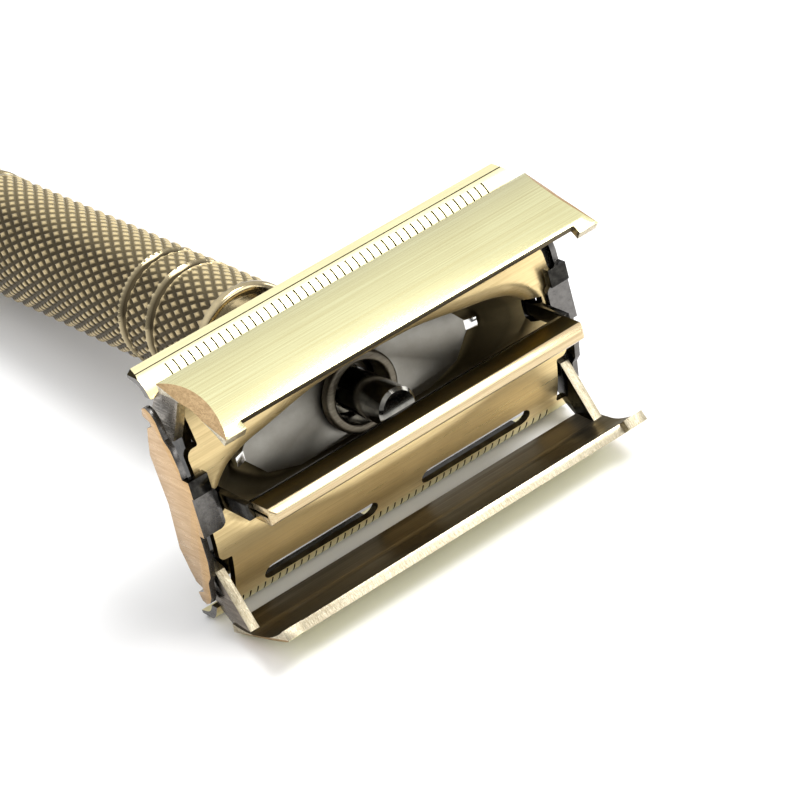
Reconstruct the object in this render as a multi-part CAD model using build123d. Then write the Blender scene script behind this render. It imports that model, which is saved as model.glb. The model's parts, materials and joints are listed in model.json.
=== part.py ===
from build123d import *
import os
from math import atan2, cos, degrees, hypot, sin

# ---------------------------------------------------------------------------
# Butterfly safety razor, doors open, lying on its side.
# Working frame: X along the head, Y across the head, Z up the handle axis,
# Z = 0 at the rolled rim of the neck.  All lengths in mm, angles in degrees.
# ---------------------------------------------------------------------------

# guard tray
SHEET = 0.75                  # sheet thickness of tray
TRAY_HALF = 21.1              # half length of tray, at the lips
DECK_HALF = 20.4              # half length of the decks between the door-arm notches
# half section of the tray's top surface, from the ridge line to the lip edge (Y, Z)
TRAY_TOP = [(0.0, 3.40), (3.6, 3.30), (6.4, 2.80), (9.4, 1.85), (11.2, 0.85), (12.2, 0.20),
            (12.75, -0.65), (13.05, -2.0)]
LIP_CORNER = 0.7              # corner cut at each end of the lips
SLOT_IN = 2.6                 # wash slots: inner end from the centre
SLOT_OUT = 15.7               # wash slots: outer end from the centre
SLOT_Y = 10.38                # wash slots: distance from the centre line
SLOT_W = 1.76
SLOT_RIB_T = 0.3              # stiffening rib under the outer side of each wash slot
SLOT_RIB_LOW = -0.75
SLOT_RIB_TOP = 0.3
NOTCH_X = 19.05               # door-arm notch: inner edge
NOTCH_IN = 5.8                # door-arm notch: nearest edge to the centre line
NOTCH_OUT = 11.0              # door-arm notch: far edge
TICKS = 44                    # cuts along each lip
TICK_PITCH = 0.84
TICK_W = 0.16
TICK_DEPTH = 0.28
TICK_LEN = 1.7
LIP_LINE = 0.14               # width of the engraved line along each lip

# trough between the decks: stations down its wall (Z, growth of the outline)
RIM_STEPS = [(3.6, 1.15), (3.15, 0.55), (2.5, 0.15), (1.6, 0.0)]
TROUGH_FLOOR = -1.8           # top surface of the trough floor
# quarter outline of the trough at the rim and at the floor, tip to middle (X, Y)
TROUGH_RIM = [(18.3, 0.9), (17.2, 1.5), (16.2, 2.6), (11.2, 3.4), (6.6, 4.2)]
TROUGH_BASE = [(14.6, 0.7), (13.9, 1.4), (12.2, 2.9), (10.4, 3.8), (7.4, 4.15)]
UPRIGHT_HOLE = (17.8, 19.1, 1.2)   # opening for a yoke upright: from X, to X, half width

# end plates
PLATE_T = 0.6
PLATE_GAP = 0.05              # end plate stands this far off the tray's end
# half outline from the middle outwards (Y, Z): top edge, end, bottom edge
PLATE_TOP = [(2.1, 3.4), (4.9, 3.35), (6.7, 2.9), (7.5, 2.2), (8.6, 1.95), (9.3, 1.8)]
PLATE_END = [(10.0, 1.3), (10.35, 0.6), (10.15, 0.0)]
PLATE_BOTTOM = [(9.3, -0.3), (8.95, 0.7), (8.5, 0.75), (8.1, -0.1), (6.9, -0.6), (4.9, -1.25), (2.6, -1.0),
                (0.0, -0.7)]
TAB_HALF = 2.1                # inward tab: half width
TAB_REACH = 1.95              # inward tab: reach over the tray
TAB_TOP = 4.1
EAR_END = 3.8                 # ear beside the tab: far edge in Y
EAR_REACH = 1.5
EAR_TOP = 4.35

# clamp plate on the trough floor
CLAMP_T = 0.6
CLAMP_OUTLINE = [(13.0, 0.5), (11.1, 2.8), (7.6, 3.9)]
CLAMP_END_HALF = 0.5          # turned-up ends
CLAMP_END_LEN = 1.35
CLAMP_END_RISE = 22.0

# neck
NECK_R = 4.9
NECK_TOP = -2.6
NECK_BORE = 3.05
NECK_SPIGOT_R = 3.4
RIM_R = 4.0
RIM_H = 0.95
HANDLE_TOP = -18.0
NECK_TAIL_R = 4.3
NECK_TAIL_END = -25.5
FORK_HALF = 1.6
FORK_LOW = -7.6

# handle
HANDLE_R = 5.95
HANDLE_END = -66.0
HANDLE_BORE = 3.6
RING_Z = (-27.05, -31.95)
RING_W = 1.1
RING_DEPTH = 0.45
TOP_BAND = 1.1
END_BORE = 4.4
BUSH_LEN = 6.0
JOURNAL_R = 2.7
FIT = 0.05                    # radial running clearance

# yoke, rib, rod
UPRIGHT_IN = 18.0
UPRIGHT_OUT = 18.7
UPRIGHT_HALF = 0.8
BAR_LOW = 6.95
BAR_TOP = 7.6
BAR_HALF = 0.7
CROSS_LOW = -4.7
CROSS_TOP = -3.6
CROSS_HALF = 1.3
YOKE_END_T = 0.8
PIVOT_Y = 7.6
PIVOT_Z = 0.0
BOSS_R = 1.35
PIN_R = 0.6
RIB_HALF = 18.05
RIB_W = 1.8
RIB_TOP = 10.7
RIB_FLAT = 0.75
RIB_BEVEL = 0.7
RIB_SLIT = 0.22
RIB_SLIT_TOP = 9.8
ROD_R = 2.05
ROD_TIP = 5.5
ROD_END = -55.0
ROD_FLANGE_R = 2.7
NUT_H = 1.5

# doors, open position
DOOR_HALF = 21.0
DOOR_T = 1.0
DOOR_FOOT = (13.08, 2.66)     # outer corner beside the guard (Y, Z)
DOOR_TIP = (10.4, 12.45)      # outer corner at the free edge (Y, Z)
DOOR_BULGE = 1.05             # rise of the arc over the chord foot-tip
CUTOUT_HALF = 18.8            # relief for the centre rib
CUTOUT_DEPTH = 0.95
FACET_RUN = 1.15              # how far the end facet runs in along X at mid arc
ARM_IN = 19.8
ARM_OUT = 20.8
# arm outline from the door's foot round to the inside of the door (Y, Z)
ARM_PTS = [(12.7, 3.0), (11.3, 1.3), (8.3, -1.1), (6.6, -0.9), (6.25, 0.5), (6.9, 2.2), (12.5, 5.6)]

# knob and drive
KNOB_TOP = -66.5
KNOB_END = -79.0
KNOB_R = 6.0
CAP_H = 1.0
SLEEVE_R = 3.3
SLEEVE_TOP = -42.0
SHOULDER_R = 3.3
SHOULDER = (-59.4, -57.9)
SLEEVE_END = -73.0
KNOB_PIN_R = 0.5
KNOB_PIN_Z = -70.0

# lay-down: the razor rests on the edge of one guard lip and on the knob's rim
REST_TILT = degrees(atan2(TRAY_TOP[-1][0] - KNOB_R, TRAY_TOP[-1][1] - KNOB_END))


def cyl(radius, z_low, z_high):
    return Pos(0, 0, (z_low + z_high) / 2) * Cylinder(radius, z_high - z_low)


def block(x0, x1, y0, y1, z0, z1):
    return Pos((x0 + x1) / 2, (y0 + y1) / 2, (z0 + z1) / 2) * Box(x1 - x0, y1 - y0, z1 - z0)


def tube(r_out, r_in, z_low, z_high):
    return cyl(r_out, z_low, z_high) - cyl(r_in, z_low - 1, z_high + 1)


def yz_prism(face, x0, x1):
    """Extrude a face drawn in the Y-Z plane from X = x0 to X = x1."""
    return Pos(x0, 0, 0) * extrude(face, x1 - x0, dir=(1, 0, 0))


def yz_face(points):
    return make_face(Polyline(*[(0, y, z) for y, z in points], close=True))


def spline_points(half):
    """Mirror a half section about the Z axis, end to end."""
    left = [(-y, z) for y, z in reversed(half[1:])]
    return left + list(half)


def offset_points(points, distance):
    """Points moved to the left of the travel direction by -distance (below a left-to-right line)."""
    moved = []
    last = len(points) - 1
    for i, (y, z) in enumerate(points):
        ya, za = points[max(i - 1, 0)]
        yb, zb = points[min(i + 1, last)]
        run = hypot(yb - ya, zb - za)
        moved.append((y + distance * (zb - za) / run, z - distance * (yb - ya) / run))
    return moved


def both_ends(shape):
    return shape + mirror(shape, about=Plane.YZ)


def hexagon_ring(quarter, grow=0.0):
    """Closed outline from a quarter list of (X, Y) corners, grown outwards in Y and X."""
    q = [(x + grow * 0.6, y + grow) for x, y in quarter]
    upper = q + [(-x, y) for x, y in reversed(q)]
    lower = [(x, -y) for x, y in reversed(upper)]
    return upper + lower


def trough_body(extra, floor):
    """Solid that fills the trough: ruled loft through the rim stations down to the floor."""
    sections = []
    for z, grow in RIM_STEPS:
        sections.append((z, hexagon_ring(TROUGH_RIM, grow + extra)))
    sections.append((floor, hexagon_ring(TROUGH_BASE, extra)))
    faces = [Pos(0, 0, z) * make_face(Polyline(*pts, close=True)) for z, pts in sections]
    return loft(faces, ruled=True)


def make_tray():
    top = spline_points(TRAY_TOP)
    bottom = offset_points(top, SHEET)
    upper = Spline(*[(0, y, z) for y, z in top])
    lower = Spline(*[(0, y, z) for y, z in bottom])
    outline = upper + Line(upper @ 1, lower @ 1) + lower + Line(lower @ 0, upper @ 0)
    tray = yz_prism(make_face(outline), -TRAY_HALF, TRAY_HALF)
    shell = trough_body(SHEET, TROUGH_FLOOR - SHEET) & block(-30, 30, -20, 20, -10, 3.35)
    side = TRAY_TOP[-1][0]
    skirt = Polyline(upper @ 1, (0, side, -8), (0, -side, -8), upper @ 0)
    shell = shell & yz_prism(make_face(upper + skirt), -TRAY_HALF, TRAY_HALF)
    tray = tray + shell - trough_body(0.0, TROUGH_FLOOR)
    x0, x1, half = UPRIGHT_HOLE
    for s in (1, -1):
        tray -= block(min(s * x0, s * x1), max(s * x0, s * x1), -half, half, -4, 5)
        for t in (1, -1):
            slot_x = s * (SLOT_IN + SLOT_OUT) / 2
            slot = Pos(slot_x, t * SLOT_Y, -2) * extrude(SlotOverall(SLOT_OUT - SLOT_IN, SLOT_W), 6)
            tray -= slot
            ya, yb = sorted((t * (SLOT_Y + SLOT_W / 2), t * (SLOT_Y + SLOT_W / 2 + SLOT_RIB_T)))
            rib_half = (SLOT_OUT - SLOT_IN - SLOT_W) / 2
            tray += block(slot_x - rib_half, slot_x + rib_half, ya, yb, SLOT_RIB_LOW, SLOT_RIB_TOP)
            ya, yb = sorted((t * NOTCH_IN, t * NOTCH_OUT))
            xa, xb = sorted((s * NOTCH_X, s * (TRAY_HALF + 1)))
            tray -= block(xa, xb, ya, yb, -4, 5)
            corner = Pos(s * TRAY_HALF, t * TRAY_TOP[-1][0], 0) * Rot(0, 0, 45)
            tray -= corner * Box(LIP_CORNER * 1.41, LIP_CORNER * 1.41, 8)
        xa, xb = sorted((s * DECK_HALF, s * (TRAY_HALF + 1)))
        tray -= block(xa, xb, -NOTCH_IN - 0.1, NOTCH_IN + 0.1, -4, 5)
    tray -= cyl(NECK_SPIGOT_R, -6, 2)
    # cuts and engraved line on the lips
    y0, z0 = TRAY_TOP[-3]
    y1, z1 = TRAY_TOP[-2]
    slope = degrees(atan2(z1 - z0, y1 - y0))
    cuts = []
    for t in (1, -1):
        for i in range(TICKS):
            x = (i - (TICKS - 1) / 2) * TICK_PITCH
            here = Pos(x, t * (y0 + y1) / 2, (z0 + z1) / 2 + 0.1) * Rot(t * slope, 0, 0)
            cuts.append(here * Box(TICK_W, TICK_LEN, 2 * TICK_DEPTH))
        line = Pos(0, t * (y1 + 0.06), z1 + 0.02) * Rot(t * slope, 0, 0)
        cuts.append(line * Box(2 * TRAY_HALF + 2, LIP_LINE, 0.24))
    return tray - cuts


def make_end_plate(side):
    half = PLATE_TOP + PLATE_END + PLATE_BOTTOM
    outline = half + [(-y, z) for y, z in reversed(half[:-1])]
    x0 = TRAY_HALF + PLATE_GAP
    plate = yz_prism(yz_face(outline), x0, x0 + PLATE_T)
    riser = block(x0, x0 + PLATE_T, -TAB_HALF, TAB_HALF, 2.0, TAB_TOP)
    tab = block(x0 - TAB_REACH, x0 + PLATE_T, -TAB_HALF, TAB_HALF, TAB_TOP - PLATE_T, TAB_TOP)
    bend = tab.edges().filter_by(Axis.Z)
    tab = fillet([e for e in bend if e.center().X < x0 - 1], 0.7)
    ear = block(x0 - EAR_REACH, x0 + PLATE_T, TAB_HALF - 0.1, EAR_END, TAB_TOP - PLATE_T, EAR_TOP)
    ear += block(x0, x0 + PLATE_T, TAB_HALF - 0.1, EAR_END, 2.0, EAR_TOP)
    plate = plate + riser + tab + ear
    return plate if side > 0 else mirror(plate, about=Plane.YZ)


def make_clamp():
    pts = CLAMP_OUTLINE + [(-x, y) for x, y in reversed(CLAMP_OUTLINE)]
    pts = pts + [(x, -y) for x, y in reversed(pts)]
    low = TROUGH_FLOOR
    plate = Pos(0, 0, low) * extrude(make_face(Polyline(*[(x, y) for x, y in pts], close=True)), CLAMP_T)
    end = Rot(0, -CLAMP_END_RISE, 0) * block(0, CLAMP_END_LEN, -CLAMP_END_HALF, CLAMP_END_HALF, 0, CLAMP_T)
    plate += both_ends(Pos(CLAMP_OUTLINE[0][0], 0, low) * end)
    return plate - cyl(NECK_SPIGOT_R, low - 1, low + 2)


def make_neck():
    neck = cyl(NECK_R, HANDLE_TOP, NECK_TOP) + cyl(NECK_TAIL_R, NECK_TAIL_END, HANDLE_TOP)
    neck += cyl(NECK_SPIGOT_R, NECK_TOP, 0)
    rim = cyl(RIM_R, -RIM_H, 0)
    rim = fillet(rim.edges().filter_by(GeomType.CIRCLE).sort_by(Axis.Z)[-1], 0.4)
    neck += rim
    neck -= cyl(NECK_BORE, NECK_TAIL_END - 1, 1)
    neck = fillet(neck.edges().filter_by(GeomType.CIRCLE).group_by(Axis.Z)[-1].sort_by(SortBy.LENGTH)[0], 0.25)
    return neck - block(-9, 9, -FORK_HALF, FORK_HALF, FORK_LOW, NECK_TOP)


def make_handle():
    body = cyl(HANDLE_R, HANDLE_END, HANDLE_TOP)
    body = chamfer(body.edges().filter_by(GeomType.CIRCLE), 0.45)
    body -= cyl(HANDLE_BORE, HANDLE_END - 1, HANDLE_TOP + 1)
    body -= cyl(NECK_TAIL_R, NECK_TAIL_END, HANDLE_TOP + 1)
    body -= cyl(END_BORE, HANDLE_END - 1, HANDLE_END + BUSH_LEN)
    for z in RING_Z:
        body -= tube(HANDLE_R + 1, HANDLE_R - RING_DEPTH, z - RING_W / 2, z + RING_W / 2)
    return body


def make_yoke():
    frame = block(-UPRIGHT_OUT, UPRIGHT_OUT, -CROSS_HALF, CROSS_HALF, CROSS_LOW, CROSS_TOP)
    frame += block(-UPRIGHT_OUT, UPRIGHT_OUT, -BAR_HALF, BAR_HALF, BAR_LOW, BAR_TOP)
    frame += both_ends(block(UPRIGHT_IN, UPRIGHT_OUT, -UPRIGHT_HALF, UPRIGHT_HALF, CROSS_LOW, BAR_TOP))
    return frame - cyl(ROD_R, CROSS_LOW - 1, CROSS_TOP + 1)


def make_yoke_end(side):
    x0 = UPRIGHT_OUT
    x1 = UPRIGHT_OUT + YOKE_END_T
    web = [(-PIVOT_Y, -BOSS_R), (PIVOT_Y, -BOSS_R), (PIVOT_Y, BOSS_R), (-PIVOT_Y, BOSS_R)]
    arm = yz_prism(yz_face(web), x0, x1)
    for t in (1, -1):
        seat = Pos((x0 + x1) / 2, t * PIVOT_Y, PIVOT_Z) * Rot(0, 90, 0)
        arm += seat * Cylinder(BOSS_R, YOKE_END_T)
        arm -= seat * Cylinder(PIN_R, YOKE_END_T * 3)
    return arm if side > 0 else mirror(arm, about=Plane.YZ)


def make_rib():
    w = RIB_W / 2
    f = RIB_FLAT / 2
    s = RIB_SLIT / 2
    pts = [(-w, BAR_TOP), (-w, RIB_TOP - RIB_BEVEL), (-f, RIB_TOP), (f, RIB_TOP), (w, RIB_TOP - RIB_BEVEL),
           (w, BAR_TOP), (s, BAR_TOP), (s, RIB_SLIT_TOP), (-s, RIB_SLIT_TOP), (-s, BAR_TOP)]
    rib = yz_prism(yz_face(pts), -RIB_HALF, RIB_HALF)
    for s in (1, -1):
        nose = Pos(s * RIB_HALF, 0, RIB_TOP) * Rot(0, 45, 0)
        rib -= nose * Box(0.7, 4, 0.7)
    return rib


def make_rod():
    rod = cyl(ROD_R, ROD_END, ROD_TIP)
    rod = chamfer(rod.edges().filter_by(GeomType.CIRCLE), 0.3)
    return rod + cyl(ROD_FLANGE_R, CROSS_TOP, CROSS_TOP + 0.6)


def make_pins():
    pins = []
    for s in (1, -1):
        for t in (1, -1):
            x0 = UPRIGHT_OUT
            x1 = TRAY_HALF - 0.15
            pins.append(Pos(s * (x0 + x1) / 2, t * PIVOT_Y, PIVOT_Z) * Rot(0, 90, 0) * Cylinder(PIN_R, x1 - x0))
    return Compound(children=pins)


def door_geometry():
    """Centre and radius of the door's outer arc in the Y-Z plane, and the chord's outward normal."""
    (ya, za), (yb, zb) = DOOR_FOOT, DOOR_TIP
    chord = hypot(yb - ya, zb - za)
    ny, nz = (zb - za) / chord, -(yb - ya) / chord
    radius = chord * chord / (8 * DOOR_BULGE) + DOOR_BULGE / 2
    my, mz = (ya + yb) / 2, (za + zb) / 2
    cy, cz = my + ny * (DOOR_BULGE - radius), mz + nz * (DOOR_BULGE - radius)
    return (cy, cz), radius, (ny, nz)


def on_arc(radius, angle, centre):
    return (0, centre[0] + radius * cos(angle), centre[1] + radius * sin(angle))


def make_door(side):
    centre, radius, (ny, nz) = door_geometry()
    a0 = atan2(DOOR_FOOT[1] - centre[1], DOOR_FOOT[0] - centre[0])
    a1 = atan2(DOOR_TIP[1] - centre[1], DOOR_TIP[0] - centre[0])
    am = (a0 + a1) / 2
    inner = radius - DOOR_T
    outer_arc = ThreePointArc(on_arc(radius, a0, centre), on_arc(radius, am, centre), on_arc(radius, a1, centre))
    inner_arc = ThreePointArc(on_arc(inner, a1, centre), on_arc(inner, am, centre), on_arc(inner, a0, centre))
    section = make_face(outer_arc + Line(outer_arc @ 1, inner_arc @ 0) + inner_arc
                        + Line(inner_arc @ 1, outer_arc @ 0))
    door = yz_prism(section, -DOOR_HALF, DOOR_HALF)
    # end arms, trimmed to the inside of the shell
    arm = yz_prism(yz_face(ARM_PTS), ARM_IN, ARM_OUT)
    arm += Pos((ARM_IN + ARM_OUT) / 2, PIVOT_Y, PIVOT_Z) * Rot(0, 90, 0) * Cylinder(BOSS_R, ARM_OUT - ARM_IN)
    keep = Pos(0, centre[0], centre[1]) * Rot(0, 90, 0) * Cylinder(radius - DOOR_T / 2, 60)
    arm = arm & keep
    arm -= Pos(ARM_IN, PIVOT_Y, PIVOT_Z) * Rot(0, 90, 0) * Cylinder(PIN_R + FIT, 6)
    door += both_ends(arm)
    # relief for the centre rib along the free edge
    tip_angle = degrees(a1)
    edge = Pos(0, centre[0], centre[1]) * Rot(tip_angle, 0, 0) * Pos(0, radius, 0)
    door -= edge * block(-CUTOUT_HALF, CUTOUT_HALF, -DOOR_T - 1, 1, -CUTOUT_DEPTH, 2)
    # slanted facets that cut the outer corners at both ends
    tilt = degrees(atan2(FACET_RUN, DOOR_BULGE + 0.05))
    chord_angle = degrees(atan2(nz, ny))
    foot = Pos(0, DOOR_FOOT[0], DOOR_FOOT[1]) * Rot(chord_angle, 0, 0)
    for s in (1, -1):
        cutter = Pos(s * DOOR_HALF, -0.05, 6) * Rot(0, 0, s * (tilt - 90)) * Pos(0, 5, 0) * Box(40, 10, 40)
        cutter = foot * cutter
        door -= cutter & block(min(s * 15, s * 30), max(s * 15, s * 30), -30, 30, -30, 40)
    return door if side > 0 else mirror(door, about=Plane.XZ)


def make_knob():
    knob = cyl(KNOB_R, KNOB_END, KNOB_TOP)
    knob = chamfer(knob.edges().filter_by(GeomType.CIRCLE), 0.5)
    knob -= cyl(JOURNAL_R, SLEEVE_END, KNOB_TOP + 1)
    return knob - knob_pin()


def knob_pin():
    return Pos(0, 0, KNOB_PIN_Z) * Rot(90, 0, 0) * Cylinder(KNOB_PIN_R, 2 * (KNOB_R - 0.6))


def make_sleeve():
    sleeve = cyl(SLEEVE_R, SHOULDER[1], SLEEVE_TOP) + cyl(SHOULDER_R, SHOULDER[0], SHOULDER[1])
    sleeve += cyl(JOURNAL_R, SLEEVE_END, SHOULDER[0])
    sleeve -= cyl(ROD_R + FIT, ROD_END - 3, SLEEVE_TOP + 1)
    return sleeve - knob_pin()


def make_cap():
    cap = cyl(KNOB_R - 1.0, KNOB_END - CAP_H, KNOB_END)
    return fillet(cap.edges().filter_by(GeomType.CIRCLE).sort_by(Axis.Z)[0], 0.7)


def build():
    spring_top = SHOULDER[0]
    bush_top = HANDLE_END + BUSH_LEN
    parts = {
        "guard_tray": make_tray(),
        "end_plate_left": make_end_plate(-1),
        "end_plate_right": make_end_plate(1),
        "clamp_plate": make_clamp(),
        "neck_tube": make_neck(),
        "handle_tube": make_handle(),
        "guide_bush": tube(HANDLE_BORE, ROD_R + FIT, -36.5, -33.5),
        "end_bush": tube(END_BORE, JOURNAL_R + FIT, HANDLE_END, bush_top),
        "thrust_washer": tube(5.0, JOURNAL_R + 0.2, KNOB_TOP, HANDLE_END),
        "wave_spring": tube(SHOULDER_R, JOURNAL_R + 0.2, bush_top, spring_top),
        "lift_yoke": make_yoke(),
        "yoke_end_left": make_yoke_end(-1),
        "yoke_end_right": make_yoke_end(1),
        "centre_rib": make_rib(),
        "lift_rod": make_rod(),
        "rod_nut": tube(ROD_FLANGE_R, ROD_R, CROSS_LOW - NUT_H, CROSS_LOW),
        "pivot_pins": make_pins(),
        "door_upper": make_door(1),
        "door_lower": make_door(-1),
        "drive_sleeve": make_sleeve(),
        "knob": make_knob(),
        "knob_pin": knob_pin(),
        "knob_cap": make_cap(),
    }
    return parts


def lay_down(parts):
    """Turn every part from the working frame to the table frame: head at -Y, knob at +Y, +Z up."""
    turn = Rot(90 - REST_TILT, 0, 0)
    boxes = [(turn * p).bounding_box() for p in parts.values()]
    low = min(b.min.Z for b in boxes)
    y0 = min(b.min.Y for b in boxes)
    y1 = max(b.max.Y for b in boxes)
    shift = Pos(0, -(y0 + y1) / 2, -low)
    print("rest tilt", REST_TILT, "shift", -(y0 + y1) / 2, -low)
    return {name: shift * turn * p for name, p in parts.items()}


if __name__ == "__main__":
    os.makedirs("parts", exist_ok=True)
    for name, shape in lay_down(build()).items():
        print(name, round(shape.volume, 2), len(shape.solids()))
        export_step(shape, "parts/" + name + ".step")
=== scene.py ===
import bpy, bmesh, json, math
from mathutils import Matrix, Vector


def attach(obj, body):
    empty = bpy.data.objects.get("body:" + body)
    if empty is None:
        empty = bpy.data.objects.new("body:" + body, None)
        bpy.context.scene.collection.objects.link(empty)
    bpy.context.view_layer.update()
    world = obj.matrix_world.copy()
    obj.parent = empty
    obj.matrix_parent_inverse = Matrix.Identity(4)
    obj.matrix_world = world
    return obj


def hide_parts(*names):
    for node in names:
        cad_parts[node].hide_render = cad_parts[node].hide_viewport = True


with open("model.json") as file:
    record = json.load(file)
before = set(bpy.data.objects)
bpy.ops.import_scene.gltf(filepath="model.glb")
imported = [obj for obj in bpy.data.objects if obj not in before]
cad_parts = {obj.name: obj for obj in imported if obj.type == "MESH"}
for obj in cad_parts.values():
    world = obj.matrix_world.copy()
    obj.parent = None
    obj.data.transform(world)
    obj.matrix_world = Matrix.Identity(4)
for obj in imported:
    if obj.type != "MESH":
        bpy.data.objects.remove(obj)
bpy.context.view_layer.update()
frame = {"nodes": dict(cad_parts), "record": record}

# Butterfly safety razor, doors open, lying on a pale floor.  Lengths in metres
# in the row frame; the razor's own frame (X along the head, Y across it, Z up
# the handle axis, Z = 0 at the neck's rim) is used in millimetres.
MM = 0.001
TILT = 5.231326834525797          # lean of the razor as it lies, degrees
SHIFT = Vector((0.0, -33.35768468569466, 13.177997026028619))
ROW = Matrix.Scale(MM, 4) @ Matrix.Translation(SHIFT) @ Matrix.Rotation(math.radians(90 - TILT), 4, "X")
LOCAL = ROW.inverted()
TURN = LOCAL.to_3x3().normalized()    # LOCAL's rotation alone
GRAIN_HEIGHT = 0.02 * MM          # height of the finest relief in the materials
HANDLE_R = 5.95                   # outer radius of the handle
KNOB_R = 6.0                      # outer radius of the knob
nodes = frame["nodes"]
scene = bpy.context.scene


# ---------------------------------------------------------------- materials
class Tree:
    """Adds nodes to a new material and links them."""

    def __init__(self, name):
        self.mat = bpy.data.materials.new(name)
        self.mat.use_nodes = True
        self.nt = self.mat.node_tree
        self.bsdf = next(n for n in self.nt.nodes if n.type == "BSDF_PRINCIPLED")
        self._local = None

    def add(self, kind, **props):
        node = self.nt.nodes.new(kind)
        for key, value in props.items():
            setattr(node, key, value)
        return node

    def link(self, a, b):
        self.nt.links.new(a, b)

    def mapping(self, vector, **settings):
        mp = self.add("ShaderNodeMapping", vector_type="POINT")
        for key, value in settings.items():
            mp.inputs[key].default_value = value
        self.link(vector, mp.inputs["Vector"])
        return mp.outputs["Vector"]

    def local(self):
        """The razor's own coordinates in mm, from the piece's coordinates at rest."""
        if self._local is None:
            at_rest = self.add("ShaderNodeTexCoord").outputs["Object"]
            in_mm = self.mapping(at_rest, Scale=(1 / MM,) * 3)
            moved = self.mapping(in_mm, Location=-SHIFT)
            self._local = self.mapping(moved, Rotation=TURN.to_euler())
        return self._local

    def axes(self):
        """X, Y and Z of the razor's own coordinates."""
        sep = self.add("ShaderNodeSeparateXYZ")
        self.link(self.local(), sep.inputs[0])
        return sep.outputs

    def radius(self):
        """Distance from the handle's axis."""
        x, y, _ = self.axes()
        return self.math("SQRT", self.math("ADD", self.math("MULTIPLY", x, x), self.math("MULTIPLY", y, y)))

    def noise(self, scale, detail, rough):
        """Noise with its own scale, in cells per mm, along each of the razor's axes."""
        n = self.add("ShaderNodeTexNoise")
        n.inputs["Scale"].default_value = 1.0
        n.inputs["Detail"].default_value = detail
        n.inputs["Roughness"].default_value = rough
        self.link(self.mapping(self.local(), Scale=scale), n.inputs["Vector"])
        return n.outputs["Fac"]

    def ramp(self, fac, stops):
        r = self.add("ShaderNodeValToRGB")
        el = r.color_ramp.elements
        while len(el) < len(stops):
            el.new(0.5)
        for e, (pos, col) in zip(el, stops):
            e.position = pos
            e.color = (*col, 1)
        self.link(fac, r.inputs["Fac"])
        return r.outputs["Color"]

    def remap(self, value, a0, a1, b0, b1):
        m = self.add("ShaderNodeMapRange")
        for key, v in (("From Min", a0), ("From Max", a1), ("To Min", b0), ("To Max", b1)):
            m.inputs[key].default_value = v
        self.link(value, m.inputs["Value"])
        return m.outputs["Result"]

    def math(self, op, a, b=0.0):
        m = self.add("ShaderNodeMath", operation=op)
        for i, v in enumerate((a, b)):
            if isinstance(v, (int, float)):
                m.inputs[i].default_value = v
            else:
                self.link(v, m.inputs[i])
        return m.outputs[0]

    def mix(self, fac, a, b):
        m = self.add("ShaderNodeMix", data_type="RGBA")
        self.link(fac, m.inputs["Factor"])
        for i, v in ((6, a), (7, b)):
            if isinstance(v, tuple):
                m.inputs[i].default_value = (*v, 1)
            else:
                self.link(v, m.inputs[i])
        return m.outputs[2]

    def bump(self, height, strength, distance):
        b = self.add("ShaderNodeBump")
        b.inputs["Strength"].default_value = strength
        b.inputs["Distance"].default_value = distance
        self.link(height, b.inputs["Height"])
        return b.outputs["Normal"]

    def finish(self, colour, rough, normal=None, metallic=1.0):
        self.link(colour, self.bsdf.inputs["Base Color"])
        self.link(rough, self.bsdf.inputs["Roughness"])
        if normal is not None:
            self.link(normal, self.bsdf.inputs["Normal"])
        self.bsdf.inputs["Metallic"].default_value = metallic
        return self.mat


def brushed(name, light, dark, rough=(0.2, 0.4), grain=(0.12, 9.0, 9.0), bump=0.3, patina=0.45,
            trough_shade=None, lip=None, across=0.0):
    """Brushed metal: long fine streaks in colour, roughness and height over a slow patina.

    grain is the streaks' scale along each axis; the trough's colour takes over down in the trough
    between the decks as painted shade, partly patina, then near black as painted shadow; lip is a colour
    along the guard edges; across spreads reflections at right angles to streaks that run along X."""
    t = Tree(name)
    fine = t.noise(grain, 3.0, 0.65)
    coarse = t.noise(tuple(g * 0.3 for g in grain), 4.0, 0.6)
    slow = t.noise((0.16, 0.16, 0.16), 3.0, 0.5)
    grainy = t.math("ADD", t.math("MULTIPLY", fine, 0.55), t.math("MULTIPLY", coarse, 0.45))
    tone = t.math("ADD", t.math("MULTIPLY", grainy, 1 - patina), t.math("MULTIPLY", slow, patina))
    colour = t.ramp(tone, [(0.40, dark), (0.60, light)])
    shine = t.remap(grainy, 0.35, 0.65, rough[1], rough[0])
    if trough_shade is not None:
        # painted shade down in the trough, partly patina: from where to where, in |Y| and in Z, it comes in,
        # going near black lower down as painted shadow
        _, y, z = t.axes()
        inside = t.remap(t.math("ABSOLUTE", y), 6.4, 5.0, 0.0, 1.0)
        depth = t.math("MULTIPLY", inside, t.remap(z, 3.2, 1.8, 0.0, 1.0))
        deep = t.math("MULTIPLY", inside, t.remap(z, 2.3, 0.7, 0.0, 1.0))
        colour = t.mix(depth, colour, trough_shade)
        colour = t.mix(deep, colour, tuple(0.24 * c for c in trough_shade))
        shine = t.math("ADD", shine, t.math("MULTIPLY", depth, 0.15))
    if lip is not None:
        _, y, _ = t.axes()
        colour = t.mix(t.remap(t.math("ABSOLUTE", y), 11.0, 12.0, 0.0, 0.85), colour, lip)
    if across:
        along = t.add("ShaderNodeCombineXYZ")
        along.inputs[0].default_value = 1.0
        t.link(along.outputs[0], t.bsdf.inputs["Tangent"])
        t.bsdf.inputs["Anisotropic"].default_value = across
        t.bsdf.inputs["Anisotropic Rotation"].default_value = 0.25
    return t.finish(colour, shine, t.bump(grainy, bump, GRAIN_HEIGHT))


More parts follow.
